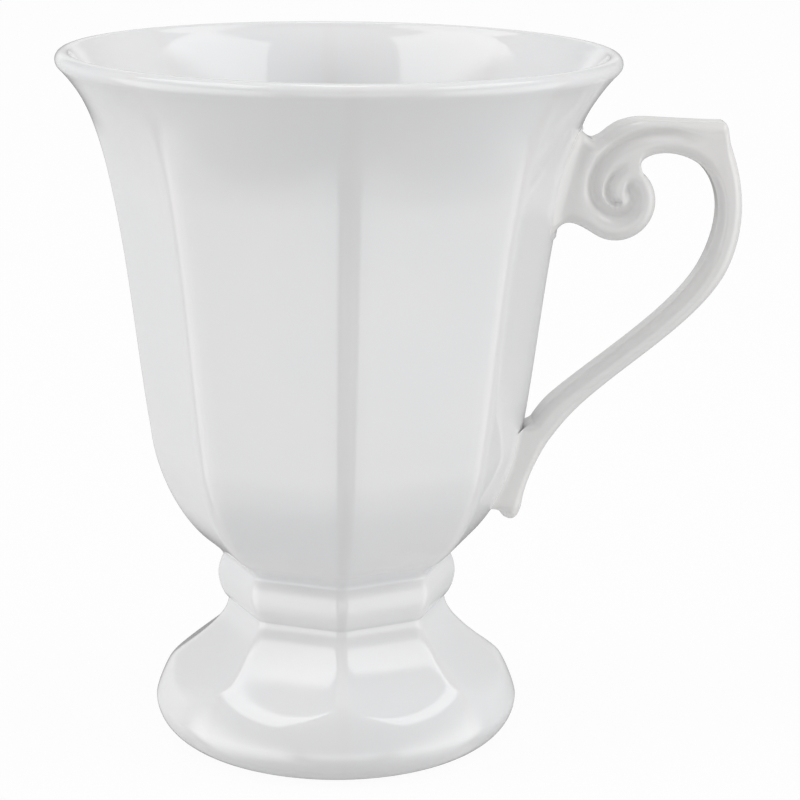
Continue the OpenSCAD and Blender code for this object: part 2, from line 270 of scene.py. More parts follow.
@dataclass(frozen=True)
class GlazeFlow:
    """Fired glaze close up: slow waves, orange peel, pinholes, and thin glaze on the ridges.

    Waves, bumps and cells are counted over a metre, and heights are shares of a wave's. A pinhole
    sits in each cell whose random number is above rare, and fades between the two distances of
    pinhole_edge from the cell's point.
    """

    waves: float = 45.0
    bumps: float = 420.0
    cells: float = 190.0
    bump_height: float = 0.03
    pinhole_depth: float = 0.12
    pinhole_edge: Point = (0.055, 0.02)
    rare: float = 0.93
    half_panel: float = math.radians(22.5)
    ridge_width: float = 0.05

    def build(self) -> Tree:
        """Builds the group that every finish of the mug uses.

        Returns:
            The node tree, with the glaze's height and the masks of its pools, pinholes and ridges.
        """
        tree = shader_group(
            "glaze_flow", {"Wave size": self.waves, "Peel size": self.bumps, "Pinhole size": self.cells},
            ["Height", "Pool", "Pinhole", "Ridge"],
        )
        nodes, links = tree.nodes, tree.links
        place = nodes.new("ShaderNodeTexCoord").outputs["Object"]

        def noise(size: str) -> Socket:
            """Noise at the size that one of the group's inputs gives.

            Args:
                size: the input's name.

            Returns:
                The noise's socket.
            """
            node = nodes.new("ShaderNodeTexNoise")
            node.inputs["Detail"].default_value = 1.0
            links.new(place, node.inputs["Vector"])
            links.new(nodes["in"].outputs[size], node.inputs["Scale"])
            return node.outputs["Fac"]

        wave, peel = noise("Wave size"), noise("Peel size")
        dots = nodes.new("ShaderNodeTexVoronoi")
        dots.feature = "F1"
        links.new(place, dots.inputs["Vector"])
        links.new(nodes["in"].outputs["Pinhole size"], dots.inputs["Scale"])
        few = math_node(tree, "GREATER_THAN", dots.outputs["Color"], self.rare)
        round_dots = step_node(tree, dots.outputs["Distance"], *self.pinhole_edge)
        pinhole = math_node(tree, "MULTIPLY", round_dots, few)
        height = math_node(tree, "MULTIPLY_ADD", peel, self.bump_height, wave)
        height = math_node(tree, "MULTIPLY_ADD", pinhole, -self.pinhole_depth, height)
        split = nodes.new("ShaderNodeSeparateXYZ")
        links.new(place, split.inputs[0])
        turn = math_node(tree, "ARCTAN2", split.outputs["Y"], split.outputs["X"])
        off = math_node(tree, "PINGPONG", turn, self.half_panel)
        ridge = step_node(tree, off, self.ridge_width, 0.0)
        for name, socket in (("Height", height), ("Pool", wave), ("Pinhole", pinhole), ("Ridge", ridge)):
            links.new(socket, nodes["out"].inputs[name])
        return tree


@dataclass(frozen=True)
class Porcelain:
    """White porcelain under a clear glaze, with the bare ring that it stood on in the kiln.

    The colour turns from body to pooled where the glaze's waves rise through pool_edge. Ridges and
    pinholes are how strongly their colours show. What lies lower than bare_below, in metres, is
    bare clay, and at 0 the piece is glazed all over.
    """

    name: str
    body: Colour
    pooled: Colour
    roughness: float
    ripple: float = 0.25
    pool_edge: Point = (0.35, 0.7)
    pool_gloss: float = 0.04
    ridge: Colour = (0.80, 0.775, 0.765)
    ridges: float = 0.0
    pinhole: Colour = (0.45, 0.40, 0.33)
    pinholes: float = 0.35
    clay: Colour = (0.80, 0.76, 0.70)
    clay_roughness: float = 0.5
    bare_below: float = 0.0
    bare_waves: float = 140.0
    bare_wander: float = 0.4
    bare_sharp: float = 0.6
    ior: float = 1.55
    bump_distance: float = 0.0005

    def material(self, flow: Tree) -> bpy.types.Material:
        """Builds the material.

        Args:
            flow: the group with the glaze's waves, peel, pinholes and ridges.

        Returns:
            The finished material.
        """
        material = bpy.data.materials.new(self.name)
        material.use_nodes = True
        tree = material.node_tree
        nodes, links = tree.nodes, tree.links
        shader = nodes["Principled BSDF"]
        shader.inputs["IOR"].default_value = self.ior

        glaze = nodes.new("ShaderNodeGroup")
        glaze.node_tree = flow
        pool = glaze.outputs["Pool"]
        colour = mix_node(tree, Mix.COLOUR, step_node(tree, pool, *self.pool_edge), self.body, self.pooled)
        if self.ridges:
            share = math_node(tree, "MULTIPLY", glaze.outputs["Ridge"], self.ridges)
            colour = mix_node(tree, Mix.COLOUR, share, colour, self.ridge)
        dot = math_node(tree, "MULTIPLY", glaze.outputs["Pinhole"], self.pinholes)
        colour = mix_node(tree, Mix.COLOUR, dot, colour, self.pinhole)
        rough = math_node(tree, "MULTIPLY_ADD", pool, -self.pool_gloss, self.roughness + self.pool_gloss / 2)
        if self.bare_below:
            bare = self.bare(tree)
            colour = mix_node(tree, Mix.COLOUR, bare, colour, self.clay)
            rough = math_node(tree, "MULTIPLY_ADD", bare, self.clay_roughness, rough)
        links.new(rough, shader.inputs["Roughness"])
        links.new(colour, shader.inputs["Base Color"])
        bump = nodes.new("ShaderNodeBump")
        bump.inputs["Strength"].default_value = self.ripple
        bump.inputs["Distance"].default_value = self.bump_distance
        links.new(glaze.outputs["Height"], bump.inputs["Height"])
        links.new(bump.outputs["Normal"], shader.inputs["Normal"])
        return material

    def bare(self, tree: Tree) -> Socket:
        """Mask of the ring under the foot that the glaze is wiped off, with a slightly wavy edge.

        Args:
            tree: the material's tree.

        Returns:
            The mask's socket.
        """
        nodes, links = tree.nodes, tree.links
        place = nodes.new("ShaderNodeTexCoord").outputs["Object"]
        split = nodes.new("ShaderNodeSeparateXYZ")
        links.new(place, split.inputs[0])
        wobble = nodes.new("ShaderNodeTexNoise")
        wobble.inputs["Scale"].default_value = self.bare_waves
        links.new(place, wobble.inputs["Vector"])
        wander = -self.bare_wander * self.bare_below
        level = math_node(tree, "MULTIPLY_ADD", wobble.outputs["Fac"], wander, split.outputs["Z"])
        return step_node(tree, level, self.bare_below, self.bare_sharp * self.bare_below)


class Wheel:
    """Builds a closed shell ring by ring with edit-mode operators, as a wall is drawn up on a wheel."""

    CORNER: float = 0.0590  # tangent length of a rounded ridge, as a share of the ridge radius
    OVER: float = 1.0116  # radius of the sharp corner over that of the rounded ridge
    LONG: float = 0.3  # edges of the first ring longer than this run along a panel
    SAME: float = 1e-6  # rings whose panels differ by less are equally full

    def __init__(self, name: str, panels: int, arc: int, cuts: int) -> None:
        """Sets down the first ring.

        Args:
            name: the object's name.
            panels: how many panels go round.
            arc: segments in each rounded ridge.
            cuts: points added along each panel.
        """
        object_mode()
        bpy.ops.object.select_all(action="DESELECT")
        bpy.ops.mesh.primitive_circle_add(
            vertices=panels, radius=self.OVER, fill_type="NGON", location=(0, 0, 0))
        self.piece = bpy.context.object
        self.piece.name = name
        self.piece.data.name = name
        bpy.ops.object.mode_set(mode="EDIT")
        bpy.ops.mesh.select_all(action="SELECT")
        bpy.ops.mesh.bevel(offset=self.CORNER, segments=arc, affect="VERTICES")
        bpy.ops.mesh.select_mode(type="EDGE")
        self.pick_long_edges()
        bpy.ops.mesh.subdivide(number_cuts=cuts)
        bpy.ops.mesh.select_all(action="SELECT")
        bpy.ops.mesh.delete(type="ONLY_FACE")
        bpy.ops.mesh.select_all(action="SELECT")
        self.crisp = 1.0
        self.height = 0.0
        self.fresh = True

    def pick_long_edges(self) -> None:
        """Selects only the edges that run along the panels."""
        mesh = bmesh.from_edit_mesh(self.piece.data)
        bpy.ops.mesh.select_all(action="DESELECT")
        for edge in mesh.edges:
            edge.select_set(edge.calc_length() > self.LONG)
        bmesh.update_edit_mesh(self.piece.data)

    def reach(self) -> float:
        """Largest radius of the selected ring."""
        mesh = bmesh.from_edit_mesh(self.piece.data)
        return max(math.hypot(v.co.x, v.co.y) for v in mesh.verts if v.select)

    def ring(self, radius: float, height: float, crisp: float) -> None:
        """Draws the wall on to a new ring.

        Args:
            radius: the ring's radius on its ridges, in millimetres.
            height: its height, in millimetres.
            crisp: 1 for full panels, 0 for a circle; it can only fall from ring to ring.
        """
        if not self.fresh:
            bpy.ops.mesh.extrude_edges_move()
        rise = height * MM - self.height
        bpy.ops.transform.translate(value=(0, 0, rise))
        self.height = height * MM
        if crisp < self.crisp - self.SAME:
            bpy.ops.transform.tosphere(value=1 - crisp / self.crisp)
            self.crisp = crisp
        size = radius * MM / self.reach()
        bpy.ops.transform.resize(value=(size, size, 1), center_override=(0, 0, self.height))
        self.fresh = False

    def cap(self) -> None:
        """Closes the selected ring with a flat face."""
        bpy.ops.mesh.edge_face_add()

    def done(self) -> bpy.types.Object:
        """Leaves edit mode and returns the object."""
        object_mode()
        return self.piece


@dataclass
class Bowl:
    """Panelled bowl with a round flared lip; sizes in millimetres.

    The outline runs from the seat at the knop over the belly and the throat to the lip. The panels
    fade out between the two heights of fade, and inner_crisp is how full they are inside.
    """

    seat: Point = (19.4, 32.6)
    belly: Point = (32.4, 54.2)
    throat: Point = (38.5, 96.9)
    lip_radius: float = 47.4
    top: float = 120.0
    lip_bead: float = 1.5
    lip_turn: float = -45.0
    wall: float = 2.9
    floor: float = 36.5
    floor_gap: float = 0.05
    floor_rings: tuple[float, ...] = (0.15, 0.45, 0.75, 0.93)
    fade: Point = (98.6, 116.6)
    inner_crisp: float = 0.8
    panels: int = 8
    ridge_sharpness: int = 60
    arc: int = 4
    cuts: int = 11
    rows: int = 20
    shading: float = 40.0
    weld: float = 1e-6

    def lip(self, angle: float) -> Point:
        """Point of the lip's rounded edge.

        Args:
            angle: 0 outwards and 90 up, in degrees.

        Returns:
            The point as (radius, height).
        """
        a = math.radians(angle)
        centre = (self.lip_radius - self.lip_bead, self.top - self.lip_bead)
        return (centre[0] + self.lip_bead * math.cos(a), centre[1] + self.lip_bead * math.sin(a))

    def line(self, u: float) -> Point:
        """Point of the outline.

        Args:
            u: 0 at the seat, 1 at the belly, 2 at the throat and 3 at the lip.

        Returns:
            The point as (ridge radius, height).
        """
        stretches = (
            curve(self.seat, self.belly, (0.454, 0.065), (0.93, 0.575)),
            curve(self.belly, self.throat, (0.375, 0.345), (0.525, 0.665)),
            curve(self.throat, self.lip(self.lip_turn), (0.165, 0.34), (0.42, 0.77)),
        )
        k = min(int(u), 2)
        return bezier(stretches[k], u - k)

    def inner_line(self, u: float) -> Point:
        """Point of the inside, one wall's thickness in from the outline.

        Args:
            u: the place on the outline, as in line.

        Returns:
            The point as (ridge radius, height).
        """
        near = 0.01
        a, b, p = self.line(max(u - near, 0)), self.line(min(u + near, 3)), self.line(u)
        dx, dz = b[0] - a[0], b[1] - a[1]
        length = math.hypot(dx, dz)
        return (p[0] - self.wall * dz / length, p[1] + self.wall * dx / length)

    def crisp(self, height: float) -> float:
        """How full the panels are at a height."""
        return 1 - ease(*self.fade, height)

    @cached_property
    def profile(self) -> Line:
        """Outline as (height, ridge radius), from the crease up."""
        steps = 2 * self.rows
        return [self.line(i / steps)[::-1] for i in range(3 * steps + 1)]

    def radius_at(self, height: float) -> float:
        """Ridge radius of the outside at a height, read between points of the outline.

        Args:
            height: the height.

        Returns:
            The radius.
        """
        height = min(max(height, self.profile[0][0]), self.profile[-1][0])
        for (a, r), (b, q) in zip(self.profile, self.profile[1:]):
            if height <= b:
                return r + (q - r) * (height - a) / (b - a)
        return self.profile[-1][1]

    def share(self, angle: float, height: float) -> float:
        """Radius of the panelled outline at an angle, as a share of its ridge radius.

        Args:
            angle: the turn from the handle's ridge, in radians.
            height: the height.

        Returns:
            The share, 1 on a ridge.
        """
        half, sharp = math.pi / self.panels, self.ridge_sharpness
        off = abs(angle - 2 * half * round(angle / (2 * half)))
        both = math.cos(half - off) ** sharp + math.cos(half + off) ** sharp
        return 1 + (math.cos(half) * (both / 2) ** (-1 / sharp) - 1) * self.crisp(height)

    def build(self) -> bpy.types.Object:
        """Draws up the outside and the inside and joins them at the lip.

        Returns:
            The piece.
        """
        last = 3 * self.rows
        outside = Wheel("bowl_body", self.panels, self.arc, self.cuts)
        for i in range(last + 1):
            radius, height = self.line(i / self.rows)
            outside.ring(radius, height, self.crisp(height))
        for angle in range(-30, 90, 15):
            outside.ring(*self.lip(angle), 0.0)
        outer = outside.done()

        inside = Wheel("bowl_inside", self.panels, self.arc, self.cuts)
        least = self.floor + self.floor_gap
        first = next(i for i in range(last) if self.inner_line(i / self.rows)[1] > least)
        edge = self.inner_line(first / self.rows)[0]
        for share in self.floor_rings:
            inside.ring(edge * share, self.floor, self.inner_crisp)
        for i in range(first, last + 1):
            radius, height = self.inner_line(i / self.rows)
            inside.ring(radius, height, self.inner_crisp * self.crisp(height))
        for angle in (125, 110, 95):
            inside.ring(*self.lip(angle), 0.0)

        only(inside.done())
        outer.select_set(True)
        bpy.context.view_layer.objects.active = outer
        bpy.ops.object.join()
        self.close(outer)
        return outer

    def close(self, piece: bpy.types.Object) -> None:
        """Bridges the two rims at the lip, then caps the crease and the floor.

        Args:
            piece: the outside and the inside, joined in one object.
        """
        crease, floor, slack = self.seat[1] * MM, self.floor * MM, 0.01 * MM
        edit(piece)
        pick_rims(piece, low=(self.top - 1) * MM)
        bpy.ops.mesh.bridge_edge_loops()
        pick_rims(piece, high=crease + slack)
        bpy.ops.mesh.edge_face_add()
        pick_rims(piece, floor - slack, floor + slack)
        bpy.ops.mesh.edge_face_add()
        finish_shell(piece, self.shading, self.weld)


@dataclass
class Foot:
    """Knop and hollow bell foot, whose panels cut a round dome; sizes in millimetres.

    The dome rises from the base by dome_height. Below the panels' end the wall widens by flare_out
    a ring, so that the dome cuts it, and a higher sharpness leaves a crisper edge there. Each
    of the vault_rings is a share of the hollow's radius and one of the way up to the vault.
    """

    seat: Point = (19.4, 32.2)
    knop: Point = (20.9, 28.232)
    neck: Point = (19.1, 23.5)
    panel: Point = (34.8, 9.2)
    base: Point = (32.0, 5.8)
    rest: Point = (26.4, 0.0)
    hollow: Point = (23.2, 0.0)
    hollow_neck: Point = (15.2, 18.8)
    vault: float = 28.3
    vault_rings: tuple[Point, ...] = ((1, 0.3), (0.97, 0.6), (0.84, 0.86), (0.55, 0.97), (0.2, 1))
    dome_height: float = 28.0
    dome_bow: float = 1.25
    sharpness: float = 60.0
    flare_out: float = 0.8
    flare_rings: int = 8
    panels: int = 8
    arc: int = 6
    cuts: int = 15
    shading: float = 60.0

    def dome(self, height: float) -> float:
        """Radius of the round dome at a height."""
        rise = max(height - self.base[1], 0.0) / self.dome_height
        return self.base[0] * math.sqrt(1 - rise**self.dome_bow)

    @staticmethod
    def stretch(controls: Line, steps: int, back: bool = False) -> Line:
        """Points along a curve, without the first.

        Args:
            controls: the curve's control points.
            steps: how many parts it is cut into.
            back: True to run from its end to its start.

        Returns:
            The points as (radius, height).
        """
        points = [bezier(controls, i / steps) for i in range(steps + 1)]
        return (points[::-1] if back else points)[1:]

    def build(self) -> bpy.types.Object:
        """Draws the wall down from the knop, round the base and up into the hollow.

        Returns:
            The piece.
        """
        wheel = Wheel("foot_body", self.panels, self.arc, self.cuts)
        wheel.ring(*self.seat, 1.0)
        over = self.stretch(curve(self.knop, self.seat, (0, 0.35), (0.55, 0.85)), steps=12, back=True)
        under = self.stretch(curve(self.neck, self.knop, (0.6, 0.2), (1, 0.62)), steps=14, back=True)
        bell = self.stretch(curve(self.neck, self.panel, (0.013, 0.21), (0.223, 0.47)), steps=70)
        for point in over + under + bell:
            wheel.ring(*point, 1.0)
        for i in range(1, self.flare_rings + 1):
            drop = (self.base[1] - self.panel[1]) * i / self.flare_rings
            wheel.ring(self.panel[0] + self.flare_out * i, self.panel[1] + drop, 1.0)
        self.cut_dome(wheel.piece)
        base = self.stretch(curve(self.rest, self.base, (0.57, 0.03), (1, 0.52)), steps=14, back=True)
        inside = self.stretch(curve(self.hollow, self.hollow_neck, (-0.14, 0.3), (0.75, 0.5)), steps=14)
        for point in base + [self.hollow] + inside:
            wheel.ring(*point, 0.0)
        for along, up in self.vault_rings:
            height = self.hollow_neck[1] + (self.vault - self.hollow_neck[1]) * up
            wheel.ring(self.hollow_neck[0] * along, height, 0.0)
        wheel.cap()
        piece = wheel.done()
        edit(piece)
        pick_rims(piece)
        bpy.ops.mesh.edge_face_add()
        finish_shell(piece, self.shading)
        return piece

    def cut_dome(self, piece: bpy.types.Object) -> None:
        """Trims the panelled flare to the round dome, with a softly rounded edge where they meet.

        Args:
            piece: the foot, in edit mode.
        """
        mesh = bmesh.from_edit_mesh(piece.data)
        sharp = self.sharpness
        for v in mesh.verts:
            height = v.co.z / MM
            if height < self.neck[1]:
                radius = math.hypot(v.co.x, v.co.y) / MM
                soft = (radius**-sharp + self.dome(height) ** -sharp) ** (-1 / sharp)
                v.co.x *= soft / radius
                v.co.y *= soft / radius
        bmesh.update_edit_mesh(piece.data)


@dataclass(frozen=True)
class Groove:
    """Spiral groove on the side of the scroll; turns round the eye are in degrees.

    Its distance from the eye is hub + size * exp((start - turn) / pitch), as a share of the
    scroll's radius, and it fades in and out over two spans of turn.
    """

    hub: float
    size: float
    start: float
    pitch: float
    fade_in: Point
    fade_out: Point
    width: float = 1.0
    depth: float = 1.0

    def press(self, away: float, turn: float, width: float) -> float:
        """How deep the groove is at a place.

        Args:
            away: distance from the eye, as a share of the scroll's radius.
            turn: the turn round the eye.
            width: half of a full groove's width, in the same shares.

        Returns:
            The depth, from 0 to 1.
        """
        line = self.hub + self.size * math.exp((self.start - turn) / self.pitch)
        valley = math.exp(-(((away - line) / (width * self.width)) ** 2))
        return self.depth * valley * ease(*self.fade_in, turn) * (1 - ease(*self.fade_out, turn))


@dataclass(frozen=True)
class Stretch:
    """Part of the handle between two of its lines across: curves of its outer and inner side.

    Each curve has four control points as (distance from the mug's axis, height) in millimetres. Of
    the pairs, the first number holds at the start and the second at the end: bow is how far the
    lines across bend towards the scroll, width is across the handle, inner_edge is the radius of
    the inner edges, and dome is the share by which both faces are narrower than the middle.
    """

    name: str
    steps: int
    outer: Line
    inner: Line
    width: Point
    bow: Point = (0.0, 0.0)
    near_wall: bool = False
    inner_edge: Point = (2.3, 2.3)
    dome: Point = (0.0, 0.0)


@dataclass
class Handle:
    """Scroll handle, swept in its own upright plane and luted to one ridge with soft fillets.

    Sizes are in millimetres. The handle lies on the wall where its gap to it is less than the first
    number of crotch, and is free of it past the second. Where it lies there, the edge that spreads
    on the wall begins laid_edge fillets before it, laid_dome is what is left of the faces' dome,
    and sink is how far the clay reaches into the wall. Each ring of the cap is a share of the last
    ring's size and how far it lies ahead.
    """

    bowl: Bowl
    edge: float = 2.3
    edge_limit: float = 0.46
    strap: float = 7.4
    scroll: float = 9.0
    tail: float = 6.0
    scroll_radius: float = 6.65
    eye: Point = (47.7, 95.42)
    groove_depth: float = 1.4
    groove_width: float = 1.1
    long_groove: Groove = Groove(
        hub=0.314, size=1.647, start=58, pitch=80, fade_in=(32, 60), fade_out=(405, 440))
    short_groove: Groove = Groove(
        hub=0.0, size=0.967, start=63.4, pitch=95, fade_in=(66, 120), fade_out=(230, 280),
        width=0.75, depth=0.8)
    root_fillet: float = 1.6
    root_rows: int = 12
    root_start: float = 0.4
    tail_fillet: float = 1.1
    laid_edge: float = 2.5
    laid_dome: float = 0.3
    crotch: Point = (0.35, 1.4)
    sink: float = 0.12
    cap: tuple[Point, ...] = ((0.94, 0.06), (0.8, 0.11), (0.55, 0.15), (0.3, 0.17), (0.06, 0.18))
    side_steps: int = 48
    face_steps: int = 6
    shading: float = 50.0
    weld: float = 1e-7

    def stretches(self) -> list[Stretch]:
        """The handle's outline from the root at the wall to the tip of the tail.

        Returns:
            The stretches in order, each of which starts where the one before it ends.
        """
        wide, strap, tail = self.scroll, self.strap, self.tail
        root, tip = 0.85 * wide, 0.6 * tail
        return [
            Stretch("root", 9, [(40.69, 106.82), (41.75, 106.07), (42.29, 105.18), (43.16, 105.1)],
                    [(36.3, 88.24), (38.23, 92.08), (39.98, 91.2), (43.74, 88.86)],
                    bow=(0, -1.06), width=(root, wide)),
            Stretch("scroll_under", 16, [(43.16, 105.1), (43.58, 105.06), (43.93, 105.33), (44.41, 105.52)],
                    [(43.74, 88.86), (46.51, 87.12), (50.14, 87.66), (52.28, 90.13)],
                    bow=(-1.06, -2.0), width=(wide, wide)),
            Stretch("scroll_over", 14, [(44.41, 105.52), (44.79, 105.68), (45.15, 106.06), (45.68, 106.47)],
                    [(52.28, 90.13), (54.43, 92.6), (54.46, 96.27), (52.36, 98.77)],
                    bow=(-2.0, -2.66), width=(wide, wide)),
            Stretch("notch", 6, [(45.68, 106.47), (46.57, 107.16), (47.35, 107.68), (48.13, 107.93)],
                    [(52.36, 98.77), (52.13, 99.05), (52.1, 98.88), (51.87, 99.11)],
                    bow=(-2.66, -1.6), width=(wide, wide)),
            Stretch("lip", 7, [(48.13, 107.93), (49.68, 108.44), (50.74, 108.6), (52.14, 108.55)],
                    [(51.87, 99.11), (51.48, 99.5), (50.48, 100.98), (51.76, 101.91)],
                    bow=(-1.6, 0), width=(wide, wide)),
            Stretch("arm", 12, [(52.14, 108.55), (56.49, 108.39), (61.12, 108.16), (65.09, 108.14)],
                    [(51.76, 101.91), (54.36, 103.8), (60.11, 102.82), (62.68, 99.64)],
                    width=(wide, strap)),
            Stretch("thumb", 12, [(65.09, 108.14), (66.49, 108.13), (66.08, 105.83), (66.92, 103.7)],
                    [(62.68, 99.64), (63.47, 98.67), (63.97, 97.67), (64.39, 96.51)],
                    width=(strap, strap), dome=(0.0, 0.12)),
            Stretch("crook", 14, [(66.92, 103.7), (69.27, 97.67), (70.36, 90.21), (67.22, 82.94)],
                    [(64.39, 96.51), (65.88, 92.34), (64.44, 87.36), (62.75, 83.81)],
                    width=(strap, strap), inner_edge=(2.3, 2.2), dome=(0.12, 0.12)),
            Stretch("strap", 44, [(67.22, 82.94), (63.21, 73.63), (49.31, 65.88), (41.54, 57.97)],
                    [(62.75, 83.81), (58.78, 75.43), (45.43, 66.93), (37.45, 59.91)],
                    width=(strap, strap), near_wall=True, inner_edge=(2.2, 1.4), dome=(0.12, 0.12)),
            Stretch("tail", 150, [(41.54, 57.97), (37.08, 53.44), (32.98, 46.44), (32.43, 40.77)],
                    [(37.45, 59.91), (33.45, 56.39), (29.84, 48.88), (28.22, 41.65)],
                    width=(strap, tail), near_wall=True, inner_edge=(1.4, 1.8), dome=(0.12, 0.12)),
            Stretch("tip", 9, [(32.43, 40.77), (32.23, 38.73), (31.42, 37.79), (30.66, 37.87)],
                    [(28.22, 41.65), (27.81, 39.85), (28.82, 38.64), (29.18, 38.42)],
                    width=(tail, tip), near_wall=True, inner_edge=(1.8, 1.8), dome=(0.12, 0.0)),
        ]

    def wall(self, y: float, z: float) -> float:
        """Distance along X from the mug's axis to the skin of the bowl, beside the handle's ridge.

        Args:
            y: the place square to the handle.
            z: the height.

        Returns:
            The distance.
        """
        r = self.bowl.radius_at(z)
        a = math.asin(max(min(y / r, 1), -1))
        b = math.asin(max(min(y / (r * self.bowl.share(a, z)), 1), -1))
        return r * self.bowl.share(b, z) * math.cos(b)

    def relief(self, x: float, z: float) -> float:
        """Depth of the grooves that draw the spiral, at a place on the handle's side.

        Args:
            x: distance from the mug's axis.
            z: the height.

        Returns:
            The depth.
        """
        away = math.hypot(x - self.eye[0], z - self.eye[1]) / self.scroll_radius
        turn = math.degrees(math.atan2(z - self.eye[1], x - self.eye[0]))
        turn += 360 if turn < self.long_groove.fade_in[0] else 0
        width = self.groove_width / self.scroll_radius
        return self.groove_depth * max(
            self.long_groove.press(away, turn, width),
            self.long_groove.press(away, turn + 360, width),
            self.short_groove.press(away, turn, width),
        )

    def marks(self, length: float, half: float, edge: float, flare: float, inset: float) -> Line:
        """Evenly spaced points along one side of a ring.

        Args:
            length: the way from the outer to the inner face.
            half: half of the ring's width.
            edge: radius of the outer edge.
            flare: how much of the way the inner edge takes up.
            inset: how far the inner edge draws the side in; below 0 it spreads it on the wall.

        Returns:
            The points as (way from the outer face, distance from the middle of the handle).
        """
        round_out, round_in = math.pi / 2 * edge, math.pi / 4 * (flare + abs(inset))
        flat = length - edge - flare
        marks = []
        for i in range(self.side_steps + 1):
            way = (round_out + flat + round_in) * i / self.side_steps
            if way < round_out:
                a = way / edge
                marks.append((edge * (1 - math.cos(a)), half - edge * (1 - math.sin(a))))
            elif way < round_out + flat:
                marks.append((edge + way - round_out, half))
            else:
                a = math.pi / 2 * (way - round_out - flat) / round_in
                marks.append((length - flare * (1 - math.sin(a)), half - inset * (1 - math.cos(a))))
        return marks

    def section(self, stretch: Stretch, t: float) -> Ring:
        """Closed ring of points round the handle.

        Args:
            stretch: the part of the handle.
            t: the place along it, from 0 to 1.

        Returns:
            The points in millimetres: one side, the inner face, the other side, the outer face.
        """
        o = Vector(bezier(stretch.outer, t))
        n = Vector(bezier(stretch.inner, t))
        laid = 0.0
        if stretch.near_wall:
            gap = n.x - self.wall(0, n.y)
            laid = 1 - ease(*self.crotch, gap)
            n.x += (self.wall(0, n.y) - n.x) * laid
        width = blend(stretch.width, ease(0, 1, t))
        dome = blend(stretch.dome, ease(0, 1, t))
        along = (n - o).normalized()
        m = (o + n) / 2 + blend(stretch.bow, t) * Vector((-along.y, along.x))
        length = ((n - o).length + (m - o).length + (n - m).length) / 2
        limit = self.edge_limit * min(length, width)
        edge, inner = min(self.edge, limit), min(blend(stretch.inner_edge, t), limit)
        flare = inner * (1 - laid) + self.tail_fillet * laid
        inset = inner * (1 - laid) - self.tail_fillet * laid
        side = []
        for q, y in self.marks(length, width / 2, edge, flare, inset):
            u = q / length
            p = (1 - u) ** 2 * o + 2 * u * (1 - u) * m + u * u * n
            y *= 1 - dome * (2 * u - 1) ** 2 * (1 - (1 - self.laid_dome) * laid * u)
            near = laid * ease(length - self.laid_edge * self.tail_fillet, length, q)
            x = p.x + near * (self.wall(y, p.y) - self.wall(0, p.y) - self.sink)
            side.append(Vector((x, -y + self.relief(p.x, p.y) * min(1, 2 * y / width), p.y)))
        return self.close(side, laid)

    def close(self, side: Ring, laid: float) -> Ring:
        """Ring from one side: it is mirrored, and points are set across both faces.

        Args:
            side: the points of one side, from the outer to the inner face.
            laid: how far the inner face lies on the wall, from 0 to 1.

        Returns:
            The ring's points.
        """
        def across(p: Vector, share: float, sink: float) -> Vector:
            """Point on the line across the handle through p.

            Args:
                p: a point of the side.
                share: its place across, from 1 at p to -1 at the other side.
                sink: how far it follows the wall, from 0 to 1.

            Returns:
                The point.
            """
            q = Vector((p.x, p.y * share, p.z))
            q.x += sink * (self.wall(q.y, q.z) - self.wall(p.y, p.z))
            return q

        shares = [1 - 2 * i / self.face_steps for i in range(1, self.face_steps)]
        ring = side + [across(side[-1], s, laid) for s in shares]
        ring += [Vector((p.x, -p.y, p.z)) for p in reversed(side)]
        return ring + [across(side[0], -s, 0.0) for s in shares]

    def root_rings(self, stretch: Stretch, t: float) -> list[Ring]:
        """Rings that spread from the handle on to the wall in a concave fillet.

        Args:
            stretch: the first part of the handle.
            t: the place along it where the fillet ends.

        Returns:
            The rings, from the wall outwards.
        """
        first = self.section(stretch, 0)
        middle = sum((p.z for p in first), 0.0) / len(first)
        shift = []
        for i, p in enumerate(first):
            tangent = first[(i + 1) % len(first)] - first[i - 1]
            away = Vector((tangent.z, -tangent.y)).normalized()
            if away.x * p.y + away.y * (p.z - middle) < 0:
                away = -away
            reach = self.root_fillet * ease(0.0, 1.0, abs(away.x))
            y, z = p.y + reach * away.x, p.z + reach * away.y
            shift.append(Vector((self.wall(y, z) - self.sink, y, z)) - p)
        rings = []
        for k in range(self.root_rows):
            u = k / self.root_rows
            rings.append([p + (1 - u) ** 2 * d for p, d in zip(self.section(stretch, t * u * u), shift)])
        return rings

    def build(self) -> bpy.types.Object:
        """Sweeps the handle, rounds its tip and closes both ends.

        Returns:
            The piece.
        """
        parts = self.stretches()
        rings = self.root_rings(parts[0], self.root_start)
        rings.append(self.section(parts[0], self.root_start))
        for k, part in enumerate(parts):
            log.debug("handle, %s: %d rings", part.name, part.steps)
            low = self.root_start if k == 0 else 0.0
            for i in range(1, part.steps + 1):
                rings.append(self.section(part, low + (1 - low) * i / part.steps))
        end = rings[-1]
        middle = sum(end, Vector()) / len(end)
        ahead = (middle - sum(rings[-2], Vector()) / len(end)).normalized()
        for share, out in self.cap:
            rings.append([middle + (p - middle) * share + ahead * out for p in end])
        return self.skin("handle_body", rings)

    def skin(self, name: str, rings: list[Ring]) -> bpy.types.Object:
        """Closed piece over a stack of rings.

        Args:
            name: the piece's name.
            rings: the rings, in millimetres, with as many points each.

        Returns:
            The piece.
        """
        mesh = bpy.data.meshes.new(name)
        n = len(rings[0])
        points = [p * MM for ring in rings for p in ring]
        faces = [[i * n + j, i * n + (j + 1) % n, (i + 1) * n + (j + 1) % n, (i + 1) * n + j]
                 for i in range(len(rings) - 1) for j in range(n)]
        last = n * (len(rings) - 1)
        faces += [list(range(n - 1, -1, -1)), list(range(last, last + n))]
        mesh.from_pydata(points, [], faces)
        piece = bpy.data.objects.new(name, mesh)
        bpy.context.scene.collection.objects.link(piece)
        edit(piece)
        finish_shell(piece, self.shading, self.weld)
        return piece


